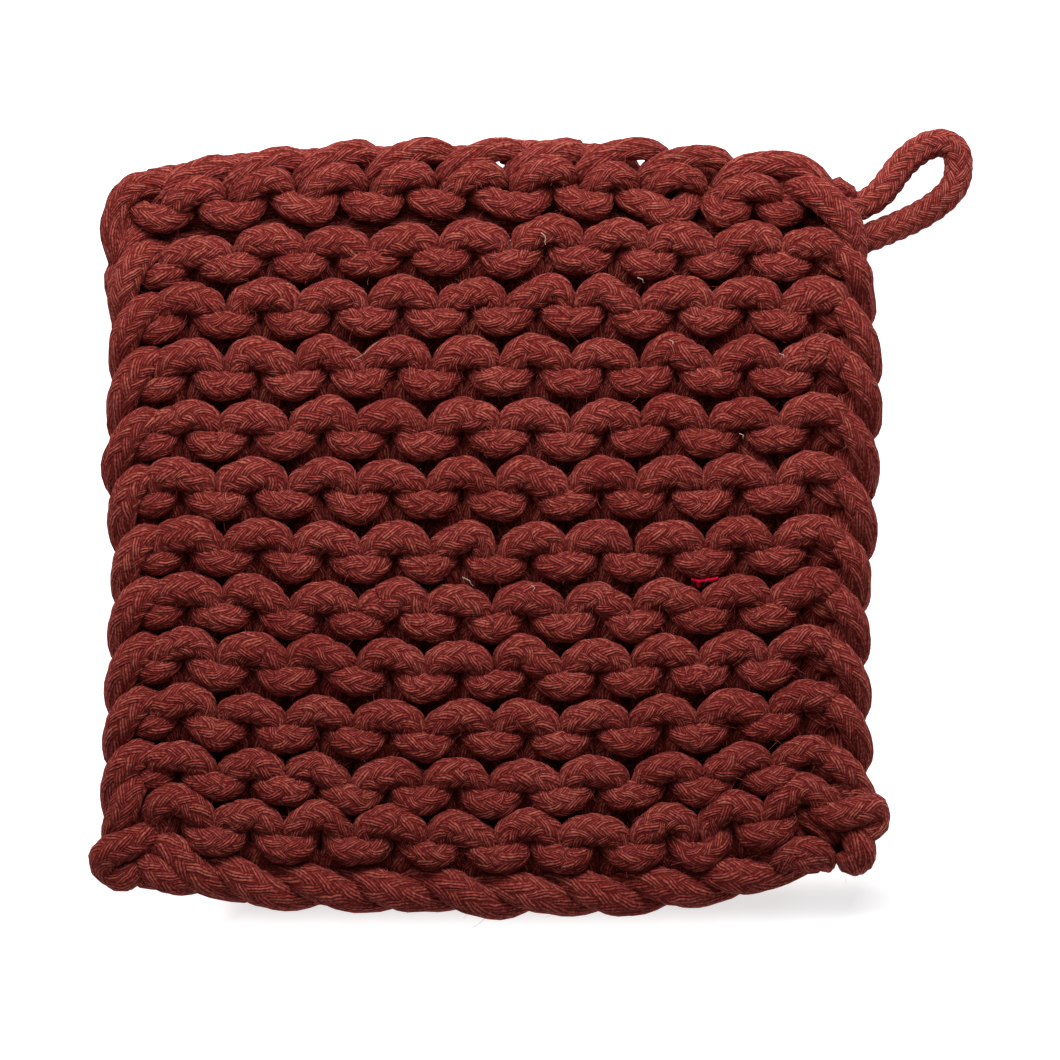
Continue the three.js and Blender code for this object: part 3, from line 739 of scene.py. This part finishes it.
def cotton_cord(name, lighter=1.0):
    """Dyed cotton cord with braided strands of fine yarn"""
    s = sizes()
    material, tree, shader = new_material(name, roughness=0.9, specular=0.06)
    shader.inputs["Sheen Weight"].default_value = 0.14
    shader.inputs["Sheen Roughness"].default_value = 0.4
    shader.inputs["Sheen Tint"].default_value = (1.0, 0.18, 0.15, 1.0)
    m = maths(tree)
    cotton = add_node(tree, "ShaderNodeGroup", node_tree=fibre_group()).outputs
    fibre = cotton["Fibre"]
    # The strands wander a little from their lay
    lay = add_node(tree, "ShaderNodeUVMap", uv_map="lay").outputs[0]
    wander = {0: cotton["Wander"], 1: (0.035, 0.035, 0.0), 2: lay}
    lay = add_node(tree, "ShaderNodeVectorMath", wander, operation="MULTIPLY_ADD").outputs[0]
    inputs = {"Lay": lay, "Strands": float(s.strands)}
    braid = add_node(tree, "ShaderNodeGroup", inputs, node_tree=braid_group()).outputs
    # Painted shade and highlight: the colour is darker down in the grooves between strands and between
    # yarns, and lighter on the yarns' crests. The tone of each yarn, the fibres and patches of dye vary it
    # at random.
    strand_crown_shade = m("POWER", braid["Groove"], 0.33)
    yarn = m("MULTIPLY_ADD", braid["Yarn"], 0.82, 0.2)
    tone = m("MULTIPLY_ADD", braid["Tone"], 0.2, 0.7)
    tone = m("MULTIPLY", tone, m("MULTIPLY_ADD", fibre, 1.9, 0.07))
    tone = m("MULTIPLY", tone, m("MULTIPLY_ADD", cotton["Patch"], 0.6, 0.7))
    relief_light_and_tone = m("MULTIPLY", m("MULTIPLY", strand_crown_shade, yarn), tone)
    # The ramp runs from the painted groove shade through the dye's colour to the painted crest highlight
    ramp = add_node(tree, "ShaderNodeValToRGB", {"Fac": m("MULTIPLY", relief_light_and_tone, lighter)})
    ramp.color_ramp.elements.new(0.5)
    for stop, colour in zip(ramp.color_ramp.elements, (s.groove_shade_colour, s.cord_colour, s.crest_highlight_colour)):
        stop.color = (*colour, 1.0)
    # Some yarns took the dye less well and are a little more orange
    less_dye = m("MULTIPLY", m("POWER", braid["Tone"], 2.0), m("MULTIPLY_ADD", fibre, 2.4, -0.7))
    colour = mixed(tree, less_dye, ramp.outputs["Color"], (1.02, 1.32, 1.02, 1.0), "MULTIPLY")
    tree.links.new(colour, shader.inputs["Base Color"])
    add_bump(tree, shader, m("MULTIPLY_ADD", fibre, 0.15, braid["Height"]), MM)
    return material


def mat_cord():
    return bpy.data.materials.get("Mat cord") or cotton_cord("Mat cord")


def woven_ribbon():
    """Plain woven ribbon, its threads crossing over and under"""
    material, tree, shader = new_material("Woven ribbon", roughness=0.7, specular=0.1)
    m = maths(tree)
    lay = add_node(tree, "ShaderNodeUVMap", uv_map="lay").outputs[0]
    threads = add_node(tree, "ShaderNodeSeparateXYZ", {0: lay}).outputs
    threads_a_mm = 2
    warp, weft = (m("SINE", m("MULTIPLY", threads[k], 2 * math.pi * threads_a_mm)) for k in (0, 1))
    weave = m("MULTIPLY_ADD", m("MULTIPLY", warp, weft), 0.5, 0.5)
    red, green, blue = sizes().ribbon_colour
    shaded = (red * 0.6, green * 0.4, blue * 0.5, 1.0)
    colour = mixed(tree, weave, shaded, (red, green, blue, 1.0))
    tree.links.new(colour, shader.inputs["Base Color"])
    add_bump(tree, shader, weave, 0.1 * MM)
    return material


def stray_fibre(name, colour):
    """A single fibre of cotton"""
    material, tree, shader = new_material(name, roughness=0.8, specular=0.1)
    cotton = add_node(tree, "ShaderNodeGroup", node_tree=fibre_group()).outputs
    shaded = tuple(0.5 * part for part in colour)
    colour = mixed(tree, cotton["Fibre"], (*shaded, 1.0), (*colour, 1.0))
    tree.links.new(colour, shader.inputs["Base Color"])
    return material


def hold(piece, *nodes):
    """The piece belongs to the mat, and the parts it replaces are hidden"""
    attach(piece, "root")
    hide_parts(*nodes)


def finish_mat_piece(cord, name):
    """The cords as a padded piece of the knitted mat"""
    piece = cord.make(name, mat_cord())
    hold(piece, "knitted_mat")


class TRIVET_OT_stage(Operator):
    """Set up the camera, the floor and the lights"""

    bl_idname = "trivet.stage"
    bl_label = "Camera, floor and lights"

    def execute(self, context):
        s = sizes()
        scene = context.scene
        scene.view_settings.view_transform = "Standard"
        lens = bpy.data.cameras.new("Camera")
        camera = put("Camera", lens)
        camera.location = (MIDDLE[0] * MM, MIDDLE[1] * MM - VIEW_DOWN, s.camera_height)
        lens.sensor_width = SENSOR
        lens.lens = SENSOR * (s.camera_height - FOCUS_HEIGHT) / s.frame_width
        lens.clip_end = 20
        bpy.context.scene.camera = camera
        mesh = bpy.data.meshes.new("Floor")
        corners = [(FLOOR_REACH * x, FLOOR_REACH * y, 0) for x, y in ((-1, -1), (1, -1), (1, 1), (-1, 1))]
        mesh.from_pydata(corners, [], [(0, 1, 2, 3)])
        mesh.materials.append(self.glowing_floor(s.floor_colour))
        floor = put("Floor", mesh)
        world = scene.world or bpy.data.worlds.new("World")
        scene.world = world
        world.use_nodes = True
        room = world.node_tree.nodes["Background"].inputs
        room["Color"].default_value = (1, 1, 1, 1)
        room["Strength"].default_value = ROOM_LIGHT
        for name, (at, size, power) in LIGHTS.items():
            light = bpy.data.lights.new(name, "AREA")
            light.shape = "RECTANGLE"
            light.size, light.size_y = size
            light.energy = power
            lamp = put(name, light)
            lamp.location = at
            lamp.rotation_euler = (-Vector(at)).to_track_quat("-Z", "Y").to_euler()
        return {"FINISHED"}

    def glowing_floor(self, colour):
        """Floor that glows white, a painted light that washes out the shadows cast on it, but dimmer along
        the strip where the shadow is let through
        """
        material, tree, shader = new_material("Floor", roughness=0.9, specular=0.0)
        shader.inputs["Base Color"].default_value = (*colour, 1.0)
        shader.inputs["Emission Color"].default_value = (1, 1, 1, 1)
        m = maths(tree)
        where = tree.nodes.new("ShaderNodeTexCoord").outputs["Object"]
        where = add_node(tree, "ShaderNodeSeparateXYZ", {0: where}).outputs
        # The floor's glow, painted light, is dim along the shadow strip and white over the rest
        glow = FLOOR_DIM
        for axis, dim, white in SHADOW_STRIP:
            inputs = {
                "Value": where[axis], "From Min": dim, "From Max": white,
                "To Min": FLOOR_DIM, "To Max": FLOOR_WHITE,
            }
            ramp = add_node(tree, "ShaderNodeMapRange", inputs, interpolation_type="SMOOTHSTEP")
            glow = m("MAXIMUM", glow, ramp.outputs["Result"])
        tree.links.new(glow, shader.inputs["Emission Strength"])
        return material


class TRIVET_OT_hanging_loop(Operator):
    """Make the hanging loop, a free length of the same cord"""

    bl_idname = "trivet.hanging_loop"
    bl_label = "Hanging loop"

    def execute(self, context):
        route = np.array(LOOP_ROUTE) + MIDDLE
        control = [(x, y, z, LOOP_DIAMETER / 2 + LOOP_CREST) for x, y, z in route]
        cord = CordMesh()
        cord.add(control, lead=sizes().loop_lead / MM, relief=LOOP_RELIEF, pressed=1.0, coarser=1.0)
        # The loop's cord is coloured lighter than the mat's
        piece = cord.make("hanging_loop_cord", cotton_cord("Loop cord", lighter=1.15))
        hold(piece, "hanging_loop")
        line = natural_spline(control, step=1.5)[:, :3]
        length = float(np.linalg.norm(np.diff(line, axis=0), axis=1).sum())
        [tuple(float(v) for v in p) for p in line * MM]
        return {"FINISHED"}


def half_stitch(row, course, head, sinker, way, own, luck):
    """Control points from the sinker up to the head if way is 1, and down again if it is -1"""
    grow, lift, shift, lean = own
    sinker_course = course + row["sinker_course"]
    head_course = course + row["head_course"]
    points = []
    for dx, up, height, radius in HALF_STITCH[::way]:
        if sinker is None and up < SINKER_SHARE:
            continue
        # The legs spread to the sinker's middle, whether it is half a column away or not
        spread = 1 if sinker is None or up >= LEG_SHARE else abs(head - sinker) / 0.5
        column = head + way * dx * spread
        here = sinker_course + (head_course - sinker_course) * up - lean * way * up
        if sinker is not None:
            here += row["tilt"] * (column - sinker) * max(0, 1 - 3 * up)
        in_head = up > HEAD_SHARE
        at = place(here, column + shift, HALF + row["face"] * height + (lift if in_head else 0))
        if in_head or up < SINKER_SHARE:
            at = at + POINT_SPREAD * luck.normal(size=3)
            radius *= 1 + RADIUS_SPREAD * luck.normal()
        points.append((*at, radius * (grow if in_head else 1)))
    return points


def knit_row(cord, row, course, luck):
    """One row of stitches, each with a thickness, height, place and lean of its own"""
    face, sinkers = row["face"], row["sinkers"]
    control = on_mat(row["lead_in"], course)
    for head, before, after in zip(row["heads"], (None, *sinkers), (*sinkers, None)):
        grow, lift, shift, lean = (spread * luck.normal() for spread in STITCH_SPREAD)
        own = (1 + grow, lift, shift, lean)
        control += half_stitch(row, course, head, before, 1, own, luck)
        height = HALF + face * HEAD_HEIGHT + lift
        top = (head + shift, row["head_course"] + 0.018, height, HEAD_RADIUS * (1 + grow))
        control += on_mat([top], course)
        control += half_stitch(row, course, head, after, -1, own, luck)
        if after is not None:
            drop, lift, grow = (spread * luck.normal() for spread in SINKER_SPREAD)
            low = place(course + row["sinker_course"] + drop, after, HALF + face * SINKER_HEIGHT + lift)
            control.append((*low, SINKER_RADIUS * (1 + grow)))
    control += on_mat(row["lead_out"], course)
    cord.add(control, phase=luck.uniform(0, ANY_TURN))


class TRIVET_OT_knitted_rows(Operator):
    """Knit the rows of stitches of both faces"""

    bl_idname = "trivet.knitted_rows"
    bl_label = "Knitted rows"

    def execute(self, context):
        luck = np.random.default_rng(11)
        front_rows = {0: TOP_FRONT_ROW, RIDGES - 1: LAST_FRONT_ROW}
        for group in range(RIDGES // RIDGES_A_PIECE):
            cord = CordMesh()
            for ridge in range(group * RIDGES_A_PIECE, (group + 1) * RIDGES_A_PIECE):
                if ridge > 0:
                    knit_row(cord, BACK_ROW, ridge, luck)
                knit_row(cord, front_rows.get(ridge, FRONT_ROW), ridge, luck)
            if group == CORD_END_PIECE:
                cord.add(np.array(CORD_END) + (*MIDDLE, 0))
            finish_mat_piece(cord, f"knitted_rows_{group + 1}")
        return {"FINISHED"}


class TRIVET_OT_side_edges(Operator):
    """Make the strands that turn from row to row at the left and right edge"""

    bl_idname = "trivet.side_edges"
    bl_label = "Side edges"

    def execute(self, context):
        luck = np.random.default_rng(5)
        cord = CordMesh()
        for strand in CORNERS:
            for turned in (False, True):
                control = np.array(strand)
                control[:, :3] += MIDDLE
                if turned:
                    control[:, 2] = THICKNESS - control[:, 2]
                cord.add(control, phase=luck.uniform(0, ANY_TURN))
        for ridge in range(1, RIDGES - 1):
            grow = 1 + 0.04 * luck.normal()
            shift = 0.03 * luck.normal()
            # The first turn at the left is one of the corner's strands
            for turn in (LEFT_TURN, RIGHT_TURN) if ridge > 1 else (RIGHT_TURN,):
                points = [
                    (column, ridge + course, z, radius * (grow if z > THICK_ABOVE else 1))
                    for column, course, z, radius in turn
                ]
                if turn is RIGHT_TURN and ridge == RIDGES - 2:
                    # The corner draws the last one in and up
                    below = ridge + 1
                    points = [(k - 0.05, min(c, below + 0.4 * (c - below)), z, q) for k, c, z, q in points]
                cord.add(on_mat(points, shift), phase=luck.uniform(0, ANY_TURN))
        for column, radius in INNER_TURNS:
            points = [
                (column, course, HALF + 1.2 * math.sin(math.pi * course / 0.5), radius)
                for course in np.arange(0.6, 11.8, 0.2)
            ]
            cord.add(on_mat(points), phase=luck.uniform(0, ANY_TURN))
        finish_mat_piece(cord, "side_edges")
        return {"FINISHED"}


class TRIVET_OT_bound_off_edge(Operator):
    """Make the chain of loops that closes the top edge"""

    bl_idname = "trivet.bound_off_edge"
    bl_label = "Bound-off edge"

    def execute(self, context):
        luck = np.random.default_rng(3)
        cord = CordMesh()
        tops = np.array(CHAIN)[:, :2]
        slopes = np.gradient(tops[:, 1]) / np.gradient(tops[:, 0])
        for k, ((x, y, width, reach, lift), slope) in enumerate(zip(CHAIN, slopes)):
            along = np.array([1.0, slope]) / math.hypot(1.0, slope)
            turn = np.array([[along[0], -along[1]], [along[1], along[0]]])
            grow = 1 + 0.03 * luck.normal()
            parting = OPENINGS.get(k, 0)
            for name, arch in CHAIN_ARCHES.items():
                control = []
                for ax, ay, z, radius in self.kept_points(k, name, arch):
                    if name == "inner":
                        ax *= width
                    elif name == "outer":
                        ax *= 1 + max(ax, 0) / OUTER_REACH * reach / OUTER_REACH
                        ay += lift
                    if ax > SHOULDER:
                        ay += parting * (-0.6 if name == "inner" else 0.4)
                        radius -= 0.4 * parting
                    at = turn @ (np.array([ax, ay]) - ARCH_TOP) + (x, y) + MIDDLE[:2]
                    control.append((*at, z + 0.2 * luck.normal(), radius * grow))
                if control:
                    cord.add(control, phase=luck.uniform(0, ANY_TURN))
        finish_mat_piece(cord, "bound_off_edge")
        return {"FINISHED"}

    def kept_points(self, k, name, arch):
        """The points of an arch of loop k, without those that would cross an opening"""
        if name == "outer":
            if k == len(CHAIN) - 1:
                return ()
            return arch[:-1] if k in OPENINGS else arch
        if name == "under":
            kept = arch[2 if OPENINGS.get(k - 1) == HOLE else 0:3 if k in OPENINGS else None]
            return kept if len(kept) > 1 else ()
        return arch


class TRIVET_OT_cast_on_edge(Operator):
    """Make the two-ply twist of cord along the bottom edge"""

    bl_idname = "trivet.cast_on_edge"
    bl_label = "Cast-on edge"

    def execute(self, context):
        cord = CordMesh()
        for ply in (0, 1):
            cord.add(np.array(self.twisted_ply(ply)) + (*MIDDLE, 0), phase=ply * 2.0)
        for course, height, radius, last, phase in TOP_FILLING:
            points = [
                (column, course, height + 0.6 * math.cos(2 * math.pi * column), radius)
                for column in np.arange(0.9, last, 0.25)
            ]
            cord.add(on_mat(points), phase=phase)
        control = on_mat([CAST_ON_START])
        for head in HEADS:
            control += on_mat(CAST_ON_LOOP, column=head)
        cord.add(control, phase=1.0)
        finish_mat_piece(cord, "cast_on_edge")
        return {"FINISHED"}

    def twisted_ply(self, ply):
        """Control points of one ply, whose ends taper off into the mat"""
        line = np.array(TWIST_LINE)
        control = []
        for x in np.arange(line[0, 0], line[-1, 0], TWIST_PITCH / 14):
            turn = 2 * math.pi * (x - TWIST_START) / TWIST_PITCH + math.pi * ply + math.pi / 2
            y = np.interp(x, line[:, 0], line[:, 1]) + PLY_SWING * math.cos(turn) + TWIST_ASIDE
            # One ply comes out from under the last stitch
            y += 3.6 * ply * math.exp(-((x + 95.0) / 6.5) ** 2)
            up = math.sin(turn)
            height = HALF + TWIST_ABOVE + PLY_RISE * up
            control.append((x, y, height, PLY_RADIUS + PLY_SWELL * up ** 2))
        start, end = control[0], control[-1]
        return [
            (start[0] + 1.5, start[1] + 3.0, HALF, 2.6), (*start[:3], 3.2), *control[1:-1],
            (*end[:3], 3.2), (end[0] - 1.0, end[1] + 3.5, HALF, 2.6),
        ]


class TRIVET_OT_ribbon_tab(Operator):
    """Make the folded ribbon tab that shows between two stitches"""

    bl_idname = "trivet.ribbon_tab"
    bl_label = "Ribbon tab"

    def execute(self, context):
        low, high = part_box("label_tab")
        left, width = low[0] / MM, (high[0] - low[0]) / MM
        middle = ((low[1] + high[1]) / 2) / MM
        base, top = low[2] / MM, high[2] / MM + 0.8
        # Points across the ribbon, and down each side of its fold
        across, half_rows = 29, 9
        rows = 2 * half_rows + 1
        points = []
        for i in range(across):
            u = i / (across - 1)
            bow = 1 - (2 * u - 1) ** 2
            # Near its left end the front layer stands out from the fold
            flare = math.exp(-((u - 0.26) / 0.10) ** 2)
            for j in range(rows):
                v = (j - half_rows) / half_rows
                down = abs(v)
                gap = math.copysign(0.20 + 0.16 * down, v) if v else 0.0
                out = -1.9 * flare * max(0, -v)
                fall = (top - base - 0.3 * bow) * down * (1 - (0.8 * flare if v < 0 else 0))
                y = middle + 0.2 - 0.45 * bow + 0.35 * u + gap + out + 0.5 * down
                points.append((left + width * u, y, top - 0.3 * bow - fall))
        faces = [
            (k, k + rows, k + rows + 1, k + 1)
            for i in range(across - 1) for k in range(i * rows, (i + 1) * rows - 1)
        ]
        mesh = bpy.data.meshes.new("ribbon_tab")
        mesh.from_pydata([tuple(np.array(p) * MM) for p in points], [], faces)
        lay = mesh.uv_layers.new(name="lay")
        for loop in mesh.loops:
            i, j = divmod(loop.vertex_index, rows)
            lay.data[loop.index].uv = (i / (across - 1) * width, j / rows * 10)
        for face in mesh.polygons:
            face.use_smooth = True
        mesh.materials.append(woven_ribbon())
        piece = put("ribbon_tab", mesh)
        thick = piece.modifiers.new("Thickness", "SOLIDIFY")
        thick.thickness = RIBBON_THICKNESS * MM
        thick.offset = 0
        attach(piece, "root")
        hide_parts("label_tab")
        return {"FINISHED"}


class TRIVET_OT_loose_fibres(Operator):
    """Scatter the fine loose fibres that stand out from the cotton cord"""

    bl_idname = "trivet.loose_fibres"
    bl_label = "Loose fibres"

    def execute(self, context):
        luck = np.random.default_rng(8)
        self.points, self.faces, self.count = [], [], 0
        for cord in context.scene.objects:
            if cord.type == "MESH" and cord.data.uv_layers.get("lay") and cord.name != "ribbon_tab":
                self.scatter(cord, luck)
        short = len(self.faces)
        for (x0, y0), (x1, y1) in STRAYS:
            t = np.linspace(0, 1, 9)[:, None]
            start = np.array((x0, y0, 20.9)) + MIDDLE
            end = np.array((x1, y1, 20.6)) + MIDDLE
            path = start + (end - start) * t
            path[:, 0] += 0.5 * np.sin(5 * t[:, 0])
            path[:, 2] += 0.4 * np.sin(math.pi * t[:, 0])
            self.add_fibre(path, STRAY_RADIUS)
        mesh = bpy.data.meshes.new("loose_fibres")
        mesh.from_pydata((np.concatenate(self.points) * MM).tolist(), [], self.faces)
        mesh.materials.append(stray_fibre("Fibre", (0.50, 0.10, 0.085)))
        mesh.materials.append(stray_fibre("Pale fibre", (0.75, 0.55, 0.45)))
        pale = np.zeros(len(self.faces), np.int32)
        pale[short:] = 1
        mesh.polygons.foreach_set("material_index", pale)
        piece = put("loose_fibres", mesh)
        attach(piece, "root")
        return {"FINISHED"}

    def scatter(self, cord, luck):
        """Put short fibres all over a cord, and more of them on the two faces of the mat"""
        where, normals = np.empty((2, len(cord.data.vertices) * 3))
        cord.data.vertices.foreach_get("co", where)
        cord.data.vertices.foreach_get("normal", normals)
        where = where.reshape(-1, 3) / MM
        normals = normals.reshape(-1, 3)
        above = where[:, 2] - HALF
        open_face = np.flatnonzero(np.abs(above) * np.sign(normals[:, 2]) * np.sign(above) > 4)
        clear_of_table = np.flatnonzero(where[:, 2] > 1.5)
        for spots, share in ((open_face, FACE_SHARE), (clear_of_table, ALL_OVER_SHARE)):
            for k in luck.choice(spots, int(len(spots) * share), replace=False):
                ahead = normals[k] * luck.uniform(0.2, 0.9) + 0.9 * luck.normal(size=3)
                ahead /= np.linalg.norm(ahead)
                bend = luck.normal(size=3) * 0.8
                length = luck.uniform(*FIBRE_LENGTH)
                t = np.linspace(0, 1, 4)[:, None]
                path = where[k] - normals[k] * 0.15 + length * (ahead * t + bend * t ** 2 * 0.5)
                path[:, 2] = np.maximum(path[:, 2], 0.1)
                self.add_fibre(path, luck.uniform(*FIBRE_RADIUS))

    def add_fibre(self, path, radius):
        """A three-sided fibre that thins to half its radius"""
        count = len(path)
        ahead = np.gradient(path, axis=0)
        ahead /= np.linalg.norm(ahead, axis=1)[:, None]
        side = np.cross(ahead, (0.3, 0.2, 1.0))
        side /= np.linalg.norm(side, axis=1)[:, None]
        up = np.cross(ahead, side)
        turn = 2 * math.pi * np.arange(3) / 3
        ring = np.cos(turn)[None, :, None] * side[:, None] + np.sin(turn)[None, :, None] * up[:, None]
        thin = radius * np.linspace(1, 0.5, count)[:, None, None]
        self.points.append((path[:, None] + ring * thin).reshape(-1, 3))
        for k in range(self.count, self.count + 3 * (count - 1), 3):
            self.faces += [(k, k + 1, k + 4, k + 3), (k + 1, k + 2, k + 5, k + 4), (k + 2, k, k + 3, k + 5)]
        self.count += 3 * count


class TRIVET_PT_panel(Panel):
    """Lists the steps that build the trivet"""

    bl_idname = "TRIVET_PT_panel"
    bl_label = "Knitted cord trivet"
    bl_space_type = "VIEW_3D"
    bl_region_type = "UI"
    bl_category = "Trivet"

    def draw(self, context):
        for name in TrivetSizes.__annotations__:
            self.layout.prop(context.scene.trivet_sizes, name)
        for step in STEPS:
            self.layout.operator(step.bl_idname)


STEPS = (
    TRIVET_OT_stage,
    TRIVET_OT_hanging_loop,
    TRIVET_OT_knitted_rows,
    TRIVET_OT_side_edges,
    TRIVET_OT_bound_off_edge,
    TRIVET_OT_cast_on_edge,
    TRIVET_OT_ribbon_tab,
    TRIVET_OT_loose_fibres,
)
CLASSES = (TrivetSizes, *STEPS, TRIVET_PT_panel)


def register():
    for kind in CLASSES:
        bpy.utils.register_class(kind)
    bpy.types.Scene.trivet_sizes = PointerProperty(type=TrivetSizes)


def unregister():
    del bpy.types.Scene.trivet_sizes
    for kind in reversed(CLASSES):
        bpy.utils.unregister_class(kind)


def main():
    register()
    bpy.ops.trivet.stage()
    bpy.ops.trivet.hanging_loop()
    bpy.ops.trivet.knitted_rows()
    bpy.ops.trivet.side_edges()
    bpy.ops.trivet.bound_off_edge()
    bpy.ops.trivet.cast_on_edge()
    bpy.ops.trivet.ribbon_tab()
    bpy.ops.trivet.loose_fibres()


if __name__ == "__main__":
    main()
